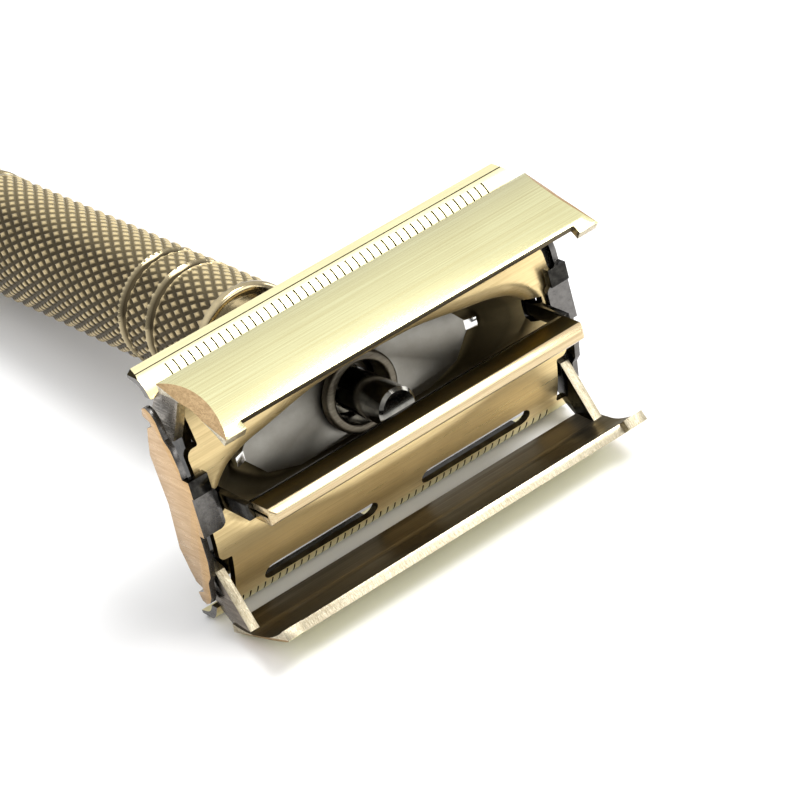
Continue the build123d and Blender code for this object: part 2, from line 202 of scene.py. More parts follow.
def plain_metal(name, light, dark, rough=(0.15, 0.3), scale=0.9, bump=0.1):
    """Smooth metal with faint cloudy marks."""
    t = Tree(name)
    fine = t.noise((scale,) * 3, 6.0, 0.65)
    colour = t.ramp(fine, [(0.38, dark), (0.62, light)])
    return t.finish(colour, t.remap(fine, 0.35, 0.65, rough[1], rough[0]), t.bump(fine, bump, GRAIN_HEIGHT))


LIT_SIDE = (0.68, 0.73)        # direction across the handle of the side lightened as a painted highlight


def knurl_metal(name, crest_radius, crest, groove):
    """Turned brass, bright on the crests of the knurl, nearly black in its grooves as painted shade, lighter
    along one side as a painted highlight.
    """
    t = Tree(name)
    x, y, _ = t.axes()
    radius = t.radius()
    fine = t.noise((1.6,) * 3, 5.0, 0.6)
    slow = t.noise((0.25,) * 3, 3.0, 0.5)
    # painted shade: 0 down in the grooves, rising to 0.85 on the crests
    unshaded = t.math("ADD", t.remap(radius, crest_radius - 0.15, crest_radius, 0.0, 0.85),
                  t.math("MULTIPLY", t.math("SUBTRACT", fine, 0.5), 0.6))
    middle = tuple(0.5 * (a + b) for a, b in zip(crest, groove))
    colour = t.ramp(unshaded, [(0.10, groove), (0.45, middle), (0.85, crest)])
    colour = t.mix(t.remap(slow, 0.4, 0.65, 0.0, 0.25), colour, groove)
    # painted highlight: the crests lighten along one side of the handle, as if light fell there
    towards = t.math("ADD", t.math("MULTIPLY", x, LIT_SIDE[0]), t.math("MULTIPLY", y, LIT_SIDE[1]))
    facing = t.math("DIVIDE", towards, radius)
    painted_light = t.math("MULTIPLY", t.remap(facing, 0.35, 0.85, 0.0, 0.95), t.remap(unshaded, 0.1, 0.6, 0.25, 1.0))
    colour = t.mix(painted_light, colour, tuple(min(0.95, 1.75 * c) for c in crest))
    return t.finish(colour, t.remap(unshaded, 0.1, 0.8, 0.5, 0.26), t.bump(fine, 0.2, GRAIN_HEIGHT))


def ring_metal(name, low, high, bottom, top):
    """Turned brass that darkens from the top of the ring grooves, at radius high, down to their bottoms, as
    painted shade.
    """
    t = Tree(name)
    fine = t.noise((0.5,) * 3, 6.0, 0.65)
    marks = t.math("MULTIPLY", t.math("SUBTRACT", fine, 0.5), 0.2)
    unshaded = t.math("ADD", t.remap(t.radius(), low, high, 0.0, 1.0), marks)
    colour = t.ramp(unshaded, [(0.1, bottom), (0.9, top)])
    return t.finish(colour, t.remap(fine, 0.35, 0.65, 0.2, 0.12), t.bump(fine, 0.05, GRAIN_HEIGHT))


def tint(mat, value):
    """Colour the metal takes at grazing angles."""
    bsdf = next(n for n in mat.node_tree.nodes if n.type == "BSDF_PRINCIPLED")
    bsdf.inputs["Specular Tint"].default_value = (*value, 1)
    return mat


BRASS = brushed("antique_brass", (0.86, 0.84, 0.50), (0.66, 0.60, 0.32), grain=(0.07, 22.0, 22.0),
                patina=0.08, rough=(0.16, 0.3), across=0.5)
# the tray darkens down in the trough as painted shade, partly patina
TRAY = brushed("antique_brass_tray", (0.90, 0.71, 0.375), (0.70, 0.53, 0.26), grain=(0.14, 9.0, 9.0),
               patina=0.3, rough=(0.26, 0.42), trough_shade=(0.30, 0.235, 0.12), lip=(0.80, 0.75, 0.46),
               across=0.75)
RIB = brushed("brass_rib", (0.68, 0.56, 0.35), (0.53, 0.405, 0.235), grain=(0.14, 10.0, 10.0), patina=0.15)
# a dark copy of the rib's brass, as painted shade
RIB_SHADE = brushed("rib_side_painted_shade", (0.095, 0.08, 0.046), (0.07, 0.058, 0.034), grain=(0.14, 10.0, 10.0),
                   rough=(0.3, 0.4))
COPPER = brushed("copper_brushed", (0.60, 0.395, 0.195), (0.45, 0.285, 0.135), grain=(6.0, 5.0, 0.4),
                 patina=0.35)
FACET = brushed("brass_facet", (0.64, 0.45, 0.245), (0.42, 0.28, 0.145), grain=(14.0, 5.0, 5.0), patina=0.1)
# a dark copy of the brass as painted shade: on the doors' inner faces, the upper door's free edge and the
# neck's rim in the trough
INNER = brushed("dark_painted_shade", (0.19, 0.168, 0.13), (0.125, 0.109, 0.082), rough=(0.3, 0.42), patina=0.2)
ARM = brushed("grey_brushed", (0.30, 0.26, 0.21), (0.14, 0.12, 0.10), grain=(0.5, 6.0, 0.6))
MILLED = brushed("milled_edge", (0.66, 0.60, 0.45), (0.32, 0.265, 0.17), grain=(28.0, 4.0, 4.0), patina=0.1,
                 rough=(0.2, 0.45), bump=0.5)
TURNED = plain_metal("turned_brass", (0.54, 0.45, 0.28), (0.42, 0.35, 0.21), (0.12, 0.2), 0.5, 0.05)
RING = ring_metal("ring_brass", 5.45, HANDLE_R, (0.075, 0.058, 0.032), (0.54, 0.45, 0.28))
NECK = plain_metal("neck_metal", (0.40, 0.38, 0.33), (0.30, 0.28, 0.24), (0.10, 0.18), 0.5, 0.05)
KNURL = knurl_metal("knurled_brass", HANDLE_R, (0.56, 0.445, 0.25), (0.07, 0.055, 0.031))
KNURL_KNOB = knurl_metal("knurled_brass_knob", KNOB_R, (0.56, 0.445, 0.25), (0.07, 0.055, 0.031))
CLAMP = plain_metal("clamp_steel", (0.31, 0.298, 0.265), (0.275, 0.262, 0.23), (0.36, 0.42), 0.35, 0.03)
# near-white steel as a painted highlight on the clamp plate's turned-up ends
HIGHLIGHT_STEEL = plain_metal("painted_highlight_steel", (0.90, 0.89, 0.86), (0.80, 0.79, 0.76), (0.15, 0.25), 0.8, 0.05)
# near black on the walls of the tray's cuts, its slots and ticks: painted shade inside them
CUT = plain_metal("cut_edge", (0.05, 0.042, 0.026), (0.025, 0.02, 0.012), (0.45, 0.6))
DARK = plain_metal("dark_steel", (0.20, 0.19, 0.175), (0.15, 0.142, 0.13), (0.08, 0.16), 0.5, 0.03)
TAB = plain_metal("grey_steel", (0.175, 0.167, 0.158), (0.13, 0.124, 0.118), (0.18, 0.3), 1.6, 0.08)
BLACK = plain_metal("black_oxide", (0.045, 0.043, 0.038), (0.014, 0.013, 0.012), (0.12, 0.28), 0.8, 0.2)
STEEL = plain_metal("turned_steel", (0.30, 0.29, 0.26), (0.16, 0.155, 0.14), (0.12, 0.2), 0.7, 0.1)
BUSH = plain_metal("bush_brass", (0.75, 0.62, 0.35), (0.6, 0.48, 0.26))
for mat, grazing in ((RIB_SHADE, (0.4, 0.35, 0.25)), (FACET, (0.6, 0.5, 0.4)), (INNER, (0.45, 0.42, 0.36)),
                     (CUT, (0.4, 0.37, 0.3))):
    tint(mat, grazing)

LOOK = {"brass_plate": BRASS, "copper_plate": COPPER, "dark_steel": DARK, "black_oxide": BLACK,
        "plain_steel": STEEL, "bush_brass": BUSH}
for sub in frame["record"]["subparts"]:
    o = nodes[sub["node"]]
    for ms in o.material_slots:
        ms.material = LOOK[sub["material_slot"]]
    if not o.material_slots:
        o.data.materials.append(LOOK[sub["material_slot"]])


# ---------------------------------------------------------------- pieces
def add_object(name, mesh, body, *replaced):
    """A new object in the scene; with a body, it rides that body in place of the replaced CAD nodes."""
    o = bpy.data.objects.new(name, mesh)
    scene.collection.objects.link(o)
    if body:
        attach(o, body)
        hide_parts(*replaced)
    return o


def apply_modifiers(o):
    """Turn the object's mesh into what its modifiers make of it."""
    dg = bpy.context.evaluated_depsgraph_get()
    made = bpy.data.meshes.new_from_object(o.evaluated_get(dg))
    o.modifiers.clear()
    o.data = made


def shade(o, angle=32):
    """Smooth shading with sharp edges above an angle in degrees."""
    o.data.set_sharp_from_angle(angle=math.radians(angle))
    for p in o.data.polygons:
        p.use_smooth = True


WELD = 1e-7                       # vertices nearer than this are one, metres
BEVEL_ANGLE = 28                  # edges sharper than this are rounded, degrees


def remake(node, name, body, paint, palette, bevel=0.08):
    """A copy of a CAD node's mesh, welded, with edges rounded by bevel mm.

    paint gives each face's place in the palette from its centre and normal."""
    bm = bmesh.new()
    bm.from_mesh(nodes[node].data)
    bmesh.ops.remove_doubles(bm, verts=bm.verts, dist=WELD)
    bmesh.ops.dissolve_limit(bm, angle_limit=math.radians(0.5), verts=bm.verts, edges=bm.edges)
    bm.normal_update()
    for f in bm.faces:
        f.material_index = paint(LOCAL @ f.calc_center_median(), (TURN @ f.normal).normalized())
    me = bpy.data.meshes.new(name)
    bm.to_mesh(me)
    bm.free()
    for m in palette:
        me.materials.append(m)
    o = add_object(name, me, body, node)
    b = o.modifiers.new("round", "BEVEL")
    b.width = bevel * MM
    b.segments = 2
    b.limit_method = "ANGLE"
    b.angle_limit = math.radians(BEVEL_ANGLE)
    b.miter_outer = "MITER_ARC"
    b.use_clamp_overlap = True
    apply_modifiers(o)
    shade(o)


OUTER_FACE, INNER_FACE, FACET_FACE, ARM_FACE, MILLED_FACE, BLACK_FACE = range(6)
DOOR_LOOK = [BRASS, INNER, FACET, ARM, MILLED, BLACK]


def door_paint(side):
    """Sorts a door's faces by where they lie on its arched section; side is 1 for the upper door."""
    # the section's outer arc: its ends in |Y| and Z, and its rise over their chord
    foot, tip, bulge = Vector((13.08, 2.66)), Vector((10.4, 12.45)), 1.05
    chord = (tip - foot).length
    normal = Vector((tip.y - foot.y, foot.x - tip.x)) / chord
    radius = chord * chord / (8 * bulge) + bulge / 2
    centre = (foot + tip) / 2 + normal * (bulge - radius)

    def paint(c, n):
        p = Vector((side * c.y, c.z)) - centre
        out = p.normalized()
        face = Vector((side * n.y, n.z)).dot(out)
        if abs(n.x) > 0.9:
            if p.length < radius - 1.2:
                return ARM_FACE if abs(c.x) > 20.5 else BLACK_FACE
            return MILLED_FACE
        if p.length > radius - 0.25 and face > 0.5:
            return FACET_FACE if abs(n.x) > 0.3 else OUTER_FACE
        if abs(n.x) > 0.2 and face > 0.0:
            return FACET_FACE
        # the inner faces take the dark copy of the brass, as painted shade
        if face < -0.8 and p.length > radius - 1.3:
            return INNER_FACE
        # the upper door's free edge is dark between its corners, as painted shade
        along = Vector((side * n.y, n.z)).dot(tip - foot) / chord
        return INNER_FACE if side > 0 and along > 0.7 and abs(c.x) < 19 else MILLED_FACE
    return paint


remake("door_upper", "upper_door_shell", "upper_door", door_paint(1), DOOR_LOOK)
remake("door_lower", "lower_door_shell", "lower_door", door_paint(-1), DOOR_LOOK)


COPPER_FACE, TAB_FACE, BACK_FACE = range(3)


def plate_paint(side):
    """Sorts an end plate's faces: copper outside, black inside, grey tab and edges."""
    def paint(c, n):
        if n.x * side > 0.5:
            return COPPER_FACE if c.z < 3.5 else TAB_FACE
        if abs(c.y) < 4.2 and c.z > 3.45:
            return BACK_FACE if c.y > 2.1 else TAB_FACE
        return BACK_FACE if n.x * side < -0.5 else TAB_FACE
    return paint


for side, word in ((-1, "left"), (1, "right")):
    remake("end_plate_" + word, "end_cover_" + word, "handle", plate_paint(side), [COPPER, TAB, BLACK])


def rib_paint(c, n):
    """Bright on top and on the lower side of the centre rib; dark as painted shade on its other side and
    underneath.
    """
    return 0 if n.z > 0.5 or (n.y < 0 and n.z > -0.5) else 1


remake("centre_rib", "rib_bar", "lifter", rib_paint, [RIB, RIB_SHADE], bevel=0.12)
# the clamp plate's turned-up ends are painted near white: a painted highlight
remake("clamp_plate", "clamp_sheet", "handle", lambda c, n: 1 if abs(c.x) > 10.6 else 0, [CLAMP, HIGHLIGHT_STEEL])
remake("lift_yoke", "yoke_frame", "lifter", lambda c, n: 0, [BLACK], bevel=0.15)
# dark above z = -6, the neck's rim down in the trough, as painted shade; plain metal below it
for node, name in (("neck_tube", "neck_sleeve"), ("guide_bush", "guide_ring")):
    remake(node, name, "handle", lambda c, n: 0 if c.z > -6 else 1, [INNER, NECK], bevel=0.05)


# ---------------------------------------------------------------- guard tray
SHEET = 0.75                      # thickness
TRAY_HALF = 21.1                  # half length
# half section across the tray's top surface, from the centre line to the edge of the lip (Y, Z)
TRAY_TOP = [(0.0, 3.40), (3.6, 3.30), (6.4, 2.80), (9.4, 1.85), (11.2, 0.85), (12.2, 0.20), (12.75, -0.65),
            (13.05, -2.0)]
TRAY_EDGE = TRAY_TOP[-1][0]
LIP_START = 10.9                  # the lips run on from here in straight rows
# quarter outlines of the trough, tip to middle (X, Y): its floor, and the top of its wall
FLOOR_Z = -1.8
FLOOR_LINE = [(14.6, 0.0), (14.45, 0.8), (13.7, 1.7), (12.2, 2.9), (10.4, 3.7), (7.4, 4.1), (3.7, 4.2),
              (0.0, 4.2)]
WALL_LINE = [(18.0, 0.0), (17.9, 0.8), (17.2, 1.55), (16.1, 2.3), (14.0, 2.95), (11.2, 3.4), (6.6, 4.15),
             (3.3, 4.35), (0.0, 4.4)]
FLOOR_BEND = 0.6                  # bend radius from floor to wall
WALL_FOOT = 1.0                   # height of the wall's foot above the floor
BEND_R = 1.8                      # bend radius from wall to deck
SHOULDER_Y = 2.6                  # half width of the trough where its tip ends and its sides begin
PER_QUARTER = 64                  # points along each quarter ring
SEED_R = 3.3                      # innermost ring, which the neck's hole swallows
NECK_HOLE_R = 3.4
# what is cut from each end of the tray in plan (X, Y), and its corner radii: it goes deeper in two
# notches, which the door arms pass through
END_CUT = [(20.4, -5.8), (19.05, -5.8), (19.05, -11.0), (22.5, -11.0), (22.5, 11.0), (19.05, 11.0),
           (19.05, 5.8), (20.4, 5.8)]
END_RADII = [0.8, 0.2, 0.4, 0, 0, 0.4, 0.2, 0.8]
UPRIGHT_HOLE = (17.8, 19.0, 1.2)  # holes for the yoke's uprights: from X, to X, half width
LIP_CORNER = 0.3                  # half side of the square cut from each lip corner
SLOT_X = (2.6, 15.7)              # wash slots: ends
SLOT_Y = 10.38                    # wash slots: distance from the centre line
SLOT_W = 1.76
# stiffening ribs under the outer sides of the wash slots: X, Y and Z, from and to
SLOT_RIB = ((3.48, 14.82), (11.27, 11.54), (-0.75, 0.3))
# cuts along each lip: from Y, to Y, depth, half length in X, count, pitch
GUARD_CUTS = (11.42, 12.66, 0.26, 0.08, 44, 0.84)
LIP_LINE = (12.83, 12.86, 0.05, 21.0, 1, 0.0)
CUT_CLEAR = 0.25                  # their cutters stand this far out of the lip
CUTTER_Z = 6.0                    # cutters reach this far above and below


def catmull(points, per=12):
    """Smooth line through points, ends mirrored so that quarters meet square to the axes."""
    first = (points[1][0], -points[1][1])
    last = (-points[-2][0], points[-2][1])
    p = [first] + list(points) + [last]
    out = []
    for i in range(1, len(p) - 2):
        for k in range(per):
            u = k / per
            row = []
            for a in range(2):
                p0, p1, p2, p3 = (p[i + j][a] for j in (-1, 0, 1, 2))
                row.append(0.5 * (2 * p1 + (p2 - p0) * u + (2 * p0 - 5 * p1 + 4 * p2 - p3) * u * u
                                  + (3 * p1 - p0 - 3 * p2 + p3) * u ** 3))
            out.append(tuple(row))
    return out + [points[-1]]


def resample(line, count, at=None):
    """count + 1 points along a line, even in length, or at the given fractions."""
    run = [0.0]
    for a, b in zip(line, line[1:]):
        run.append(run[-1] + math.hypot(b[0] - a[0], b[1] - a[1]))
    out = []
    j = 0
    for i in range(count + 1):
        want = run[-1] * (at[i] if at else i / count)
        while j < len(run) - 2 and run[j + 1] < want:
            j += 1
        u = (want - run[j]) / max(run[j + 1] - run[j], 1e-9)
        out.append(tuple(line[j][k] + (line[j + 1][k] - line[j][k]) * u for k in (0, 1)))
    return out


def deck_height(y):
    """Height of the deck at distance y from the centre line: monotone cubic through TRAY_TOP."""
    y = min(abs(y), TRAY_EDGE)
    n = len(TRAY_TOP)
    h = [TRAY_TOP[i + 1][0] - TRAY_TOP[i][0] for i in range(n - 1)]
    d = [(TRAY_TOP[i + 1][1] - TRAY_TOP[i][1]) / h[i] for i in range(n - 1)]
    m = [0.0]
    for a, b in zip(d, d[1:]):
        m.append(2 * a * b / (a + b) if a * b > 0 else 0.0)
    m.append(d[-1])
    i = next(k for k in range(n - 1) if y <= TRAY_TOP[k + 1][0] + 1e-9)
    u = (y - TRAY_TOP[i][0]) / h[i]
    return ((2 * u ** 3 - 3 * u * u + 1) * TRAY_TOP[i][1] + (u ** 3 - 2 * u * u + u) * h[i] * m[i]
            + (-2 * u ** 3 + 3 * u * u) * TRAY_TOP[i + 1][1] + (u ** 3 - u * u) * h[i] * m[i + 1])


def normals(line):
    """Outward normals of a quarter line, square to the axes at its two ends."""
    out = []
    for i in range(len(line)):
        a = line[i - 1] if i else (line[1][0], -line[1][1])
        b = line[i + 1] if i + 1 < len(line) else (-line[-2][0], line[-2][1])
        tx, ty = b[0] - a[0], b[1] - a[1]
        run = math.hypot(tx, ty)
        out.append((ty / run, -tx / run))
    return out


def deck_rows(y0, y1, steps, count):
    """Points (y, z) of the deck's profile after y0 and up to y1, even along it."""
    ys = [y0 + (y1 - y0) * i / steps for i in range(steps + 1)]
    return resample([(y, deck_height(y)) for y in ys], count)[1:]


def tray_rings():
    """Quarter rings from the hole in the trough floor out to where the lips begin, and the corner's index."""
    n = PER_QUARTER
    # more points round the tip of the trough than along its sides
    spread = [(i / n) ** 1.25 for i in range(n + 1)]
    floor = resample(catmull(FLOOR_LINE), n, spread)
    wall = resample(catmull(WALL_LINE), n, spread)
    fn, wn = normals(floor), normals(wall)
    turns = [math.pi / 2 * i / n for i in range(n + 1)]
    rings = [[(SEED_R * math.cos(a), SEED_R * math.sin(a), FLOOR_Z) for a in turns]]
    r = FLOOR_BEND
    for k in range(4):
        a = math.pi / 2 * k / 3 * 0.8
        off, up = -r + r * math.sin(a), r - r * math.cos(a)
        rings.append([(x + nx * off, y + ny * off, FLOOR_Z + up) for (x, y), (nx, ny) in zip(floor, fn)])
    tops = [deck_height(y + ny * BEND_R) for (x, y), (nx, ny) in zip(wall, wn)]
    low = FLOOR_Z + WALL_FOOT
    for k in range(1, 4):
        u = k / 4
        rings.append([(fx + (wx - fx) * u, fy + (wy - fy) * u, low + (top - BEND_R - low) * u)
                      for (fx, fy), (wx, wy), top in zip(floor, wall, tops)])
    for k in range(9):
        a = math.pi / 2 * k / 8
        off = BEND_R * (1 - math.cos(a))
        rings.append([(x + nx * off, y + ny * off, top - BEND_R * (1 - math.sin(a)))
                      for (x, y), (nx, ny), top in zip(wall, wn, tops)])
    start = [(x, y) for x, y, z in rings[-1]]
    # the last ring is a rectangle, its corner opposite the shoulder of the trough
    corner = next(i for i, (x, y) in enumerate(start) if y > SHOULDER_Y)
    edge = []
    for i, (x, y) in enumerate(start):
        if i <= corner:
            edge.append((TRAY_HALF, LIP_START * i / corner))
        else:
            edge.append((TRAY_HALF * x / start[corner][0], LIP_START))
    y0 = start[-1][1]
    for y, _ in deck_rows(y0, LIP_START, 400, 14):
        g = (y - y0) / (LIP_START - y0)
        ring = [(sx + (ex - sx) * g, sy + (ey - sy) * g) for (sx, sy), (ex, ey) in zip(start, edge)]
        rings.append([(x, y, deck_height(y)) for x, y in ring])
    return rings, corner


def full_ring(quarter):
    """Four mirrored quarters as one closed ring."""
    q = list(quarter)
    ring = q + [(-x, y, z) for x, y, z in reversed(q[:-1])]
    ring += [(-x, -y, z) for x, y, z in q[1:]]
    ring += [(x, -y, z) for x, y, z in reversed(q[1:-1])]
    return ring


def prism(bm, outline, z0, z1, place=Matrix.Identity(4)):
    """A closed prism on a plan outline given anticlockwise."""
    low = [bm.verts.new(place @ Vector((x, y, z0))) for x, y in outline]
    top = [bm.verts.new(place @ Vector((x, y, z1))) for x, y in outline]
    n = len(outline)
    bm.faces.new(list(reversed(low)))
    bm.faces.new(top)
    for i in range(n):
        bm.faces.new((low[i], low[(i + 1) % n], top[(i + 1) % n], top[i]))


def rounded(points, radii, steps=5):
    """A closed outline with its corners rounded by radii."""
    out = []
    n = len(points)
    for i, p in enumerate(points):
        r = radii[i]
        p, a, b = Vector(p), Vector(points[i - 1]), Vector(points[(i + 1) % n])
        if r <= 0:
            out.append(tuple(p))
            continue
        u, v = (a - p).normalized(), (b - p).normalized()
        half = math.acos(max(-1, min(1, u.dot(v)))) / 2
        reach = r / math.tan(half)
        c = p + (u + v).normalized() * (r / math.sin(half))
        s, e = p + u * reach - c, p + v * reach - c
        a0, a1 = math.atan2(s.y, s.x), math.atan2(e.y, e.x)
        turn = (a1 - a0 + math.pi) % (2 * math.pi) - math.pi
        for k in range(steps + 1):
            a = a0 + turn * k / steps
            out.append((c.x + r * math.cos(a), c.y + r * math.sin(a)))
    return out


def rect(x0, x1, y0, y1):
    return [(x0, y0), (x1, y0), (x1, y1), (x0, y1)]


def across(outline, side):
    """An outline on its own side, or mirrored in X and still anticlockwise."""
    return outline if side > 0 else [(-x, y) for x, y in reversed(outline)]


def slot_line(x0, x1, y, width):
    """Outline of a round-ended slot along X."""
    r = width / 2
    ends = []
    for cx, a0 in ((x1 - r, -90), (x0 + r, 90)):
        for k in range(9):
            a = math.radians(a0 + 180 * k / 8)
            ends.append((cx + r * math.cos(a), y + r * math.sin(a)))
    return ends


def tray_surface():
    """The tray's top surface, without its cuts, as an object that isn't placed yet."""
    bm = bmesh.new()
    rings, corner = tray_rings()
    loops = [[bm.verts.new(p) for p in full_ring(quarter)] for quarter in rings]
    n = len(loops[0])
    for a, b in zip(loops, loops[1:]):
        for i in range(n):
            bm.faces.new((a[i], b[i], b[(i + 1) % n], a[(i + 1) % n]))
    # the lips, row by row out from the straight sides of the last ring
    rows = deck_rows(LIP_START, TRAY_EDGE, 200, 16)
    q = n // 4
    for sy, first, last in ((1, corner, 2 * q - corner), (-1, 2 * q + corner, 4 * q - corner)):
        before = loops[-1][first:last + 1]
        for y, z in rows:
            row = [bm.verts.new((v.co.x, sy * y, z)) for v in before]
            for i in range(len(row) - 1):
                bm.faces.new((before[i], row[i], row[i + 1], before[i + 1]))
            before = row
    bmesh.ops.recalc_face_normals(bm, faces=bm.faces)
    bm.normal_update()
    if sum(f.normal.z * f.calc_area() for f in bm.faces) < 0:
        bmesh.ops.reverse_faces(bm, faces=bm.faces)
    me = bpy.data.meshes.new("guard_tray_sheet")
    bm.to_mesh(me)
    bm.free()
    for m in (TRAY, CUT, TAB):
        me.materials.append(m)
    return add_object("guard_tray_sheet", me, None)


def lip_cuts(bm, y0, y1, depth, half, count, pitch):
    """Cutters along both lips, following the lip's curve."""
    line = []
    near = 0.02
    for k in range(7):
        y = y0 + (y1 - y0) * k / 6
        slope = (deck_height(y + near) - deck_height(y - near)) / (2 * near)
        line.append((y, deck_height(y), -slope / math.hypot(1, slope), 1 / math.hypot(1, slope)))
    section = [(y - ny * depth, z - nz * depth) for y, z, ny, nz in line]
    section += [(y + ny * CUT_CLEAR, z + nz * CUT_CLEAR) for y, z, ny, nz in reversed(line)]
    for sy in (1, -1):
        lie = Matrix(((0, 0, 1, 0), (sy, 0, 0, 0), (0, 1, 0, 0), (0, 0, 0, 1)))
        for k in range(count):
            x = (k - (count - 1) / 2) * pitch
            prism(bm, section, x - half, x + half, lie)


def tray_cutters():
    """Everything that is cut from the tray, as one object."""
    bm = bmesh.new()
    for sx in (1, -1):
        prism(bm, across(rounded(END_CUT, END_RADII), sx), -CUTTER_Z, CUTTER_Z)
        x0, x1, half = UPRIGHT_HOLE
        prism(bm, across(rect(x0, x1, -half, half), sx), -CUTTER_Z, CUTTER_Z)
        for sy in (1, -1):
            x0, x1 = sorted(sx * x for x in SLOT_X)
            prism(bm, slot_line(x0, x1, sy * SLOT_Y, SLOT_W), -CUTTER_Z, CUTTER_Z)
            at = Matrix.Translation((sx * TRAY_HALF, sy * TRAY_EDGE, 0))
            square = rect(-LIP_CORNER, LIP_CORNER, -LIP_CORNER, LIP_CORNER)
            prism(bm, square, -CUTTER_Z, CUTTER_Z, at @ Matrix.Rotation(math.radians(45), 4, "Z"))
    turns = [math.tau * k / 48 for k in range(48)]
    prism(bm, [(NECK_HOLE_R * math.cos(a), NECK_HOLE_R * math.sin(a)) for a in turns], -CUTTER_Z, 1)
    for cuts in (GUARD_CUTS, LIP_LINE):
        lip_cuts(bm, *cuts)
    bmesh.ops.recalc_face_normals(bm, faces=bm.faces)
    me = bpy.data.meshes.new("cutters")
    bm.to_mesh(me)
    bm.free()
    me.materials.append(CUT)
    return add_object("cutters", me, None)


def add_slot_ribs(mesh):
    """Stiffening ribs under the outer sides of the wash slots, in black as painted shade seen down the slots.
    """
    bm = bmesh.new()
    bm.from_mesh(mesh)
    known = len(bm.faces)
    xs, ys, zs = SLOT_RIB
    for sx in (1, -1):
        for sy in (1, -1):
            x0, x1 = sorted(sx * x for x in xs)
            y0, y1 = sorted(sy * y for y in ys)
            prism(bm, rect(x0, x1, y0, y1), *zs)
    bm.faces.ensure_lookup_table()
    for f in bm.faces[known:]:
        f.material_index = len(mesh.materials)
    bm.to_mesh(mesh)
    bm.free()
    mesh.materials.append(BLACK)


def make_tray():
    """The guard tray as pressed sheet: surface, thickness, cuts, ribs."""
    o = tray_surface()
    sheet = o.modifiers.new("sheet", "SOLIDIFY")
    sheet.thickness = SHEET
    sheet.offset = -1.0
    sheet.use_even_offset = True
    sheet.use_rim = True
    sheet.material_offset_rim = 2
    cutter = tray_cutters()
    cut = o.modifiers.new("cut", "BOOLEAN")
    cut.operation = "DIFFERENCE"
    cut.solver = "EXACT"
    cut.object = cutter
    cut.material_mode = "TRANSFER"
    cut.use_self = True
    apply_modifiers(o)
    bpy.data.objects.remove(cutter)
    if len(o.data.polygons) < 1000:
        raise RuntimeError("the tray was lost in its cuts")
    add_slot_ribs(o.data)
    o.data.transform(ROW)
    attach(o, "handle")
    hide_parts("guard_tray")
    shade(o, 35)


make_tray()


# ---------------------------------------------------------------- knurled handle and knob
HANDLE_TOP, HANDLE_END = -18.0, -66.0
KNOB_TOP, KNOB_END = -66.5, -79.0
RINGS = (-27.05, -31.95)          # ring grooves in the handle
RING_HALF = 0.8
RING_DEPTH = 0.6
END_ROUND = 0.7                   # radius of the handle's rounded ends
KNOB_CHAMFER = 0.5
# bands left plain: the handle's and the knob's ends, and each side of a ring; then how fast the knurl
# comes in beside them
HANDLE_BAND, KNOB_BAND, RING_BAND = 0.95, 0.9, 0.76
END_FADE, RING_FADE = 0.15, 0.12
STARTS = 32                       # knurl grooves round the grip, each way
KNURL_PITCH = 2.02                # length of one diamond along the axis
KNURL_DEPTH = 0.26
KNURL_WALL = 0.72                 # share of the half pitch that a groove's wall rises over
STEPS = 12                        # mesh steps across one diamond


def knurled(name, body, node, profile, z0, z1, plain, look):
    """A turned body: profile(z) gives its radius, with a diamond knurl where plain(z) is 0."""
    around = STARTS * STEPS
    rows = round((z0 - z1) / (KNURL_PITCH / STEPS))
    bm = bmesh.new()
    loops = []
    for j in range(rows + 1):
        z = z0 + (z1 - z0) * j / rows
        base, smooth = profile(z), plain(z)
        ring = []
        for i in range(around):
            a, b = i / STEPS + z / KNURL_PITCH, i / STEPS - z / KNURL_PITCH
            # distance from the nearer groove of each hand, 0 in it and 1 midway to the next
            low = min(abs(a - round(a)) * 2, abs(b - round(b)) * 2)
            cut = 1 - min(1.0, low / KNURL_WALL)
            r = base - KNURL_DEPTH * (1 - smooth) * cut
            ang = math.tau * i / around
            ring.append(bm.verts.new(ROW @ Vector((r * math.cos(ang), r * math.sin(ang), z))))
        loops.append(ring)
    for a, b in zip(loops, loops[1:]):
        for i in range(around):
            k = (i + 1) % around
            bm.faces.new((a[i], b[i], b[k], a[k]))
    bm.faces.new(loops[0])
    bm.faces.new(list(reversed(loops[-1])))
    bmesh.ops.recalc_face_normals(bm, faces=bm.faces)
    me = bpy.data.meshes.new(name)
    bm.to_mesh(me)
    bm.free()
    for m in (look, TURNED, RING):
        me.materials.append(m)
    for p in me.polygons:
        z = (LOCAL @ p.center).z
        if plain(z) > 0.5:
            p.material_index = 2 if min(abs(z - ring) for ring in RINGS) < 1 else 1
    shade(add_object(name, me, body, node), 50)


def ease(u):
    """0 to 1 with no jump in slope at either end."""
    u = max(0.0, min(1.0, u))
    return u * u * (3 - 2 * u)


def handle_radius(z):
    r = HANDLE_R
    for d in (HANDLE_TOP - z, z - HANDLE_END):
        if d < END_ROUND:
            r -= END_ROUND - math.sqrt(max(0.0, END_ROUND ** 2 - (END_ROUND - max(d, 0)) ** 2))
    for ring in RINGS:
        d = abs(z - ring)
        if d < RING_HALF:
            r -= RING_DEPTH * math.cos(d / RING_HALF * math.pi / 2)
    return r


def handle_plain(z):
    p = 1 - ease((min(HANDLE_TOP - z, z - HANDLE_END) - HANDLE_BAND) / END_FADE)
    for ring in RINGS:
        p = max(p, 1 - ease((abs(z - ring) - RING_BAND) / RING_FADE))
    return p


def knob_radius(z):
    r = KNOB_R
    for d in (KNOB_TOP - z, z - KNOB_END):
        if d < KNOB_CHAMFER:
            r -= KNOB_CHAMFER - max(d, 0)
    return r


def knob_plain(z):
    return 1 - ease((min(KNOB_TOP - z, z - KNOB_END) - KNOB_BAND) / END_FADE)


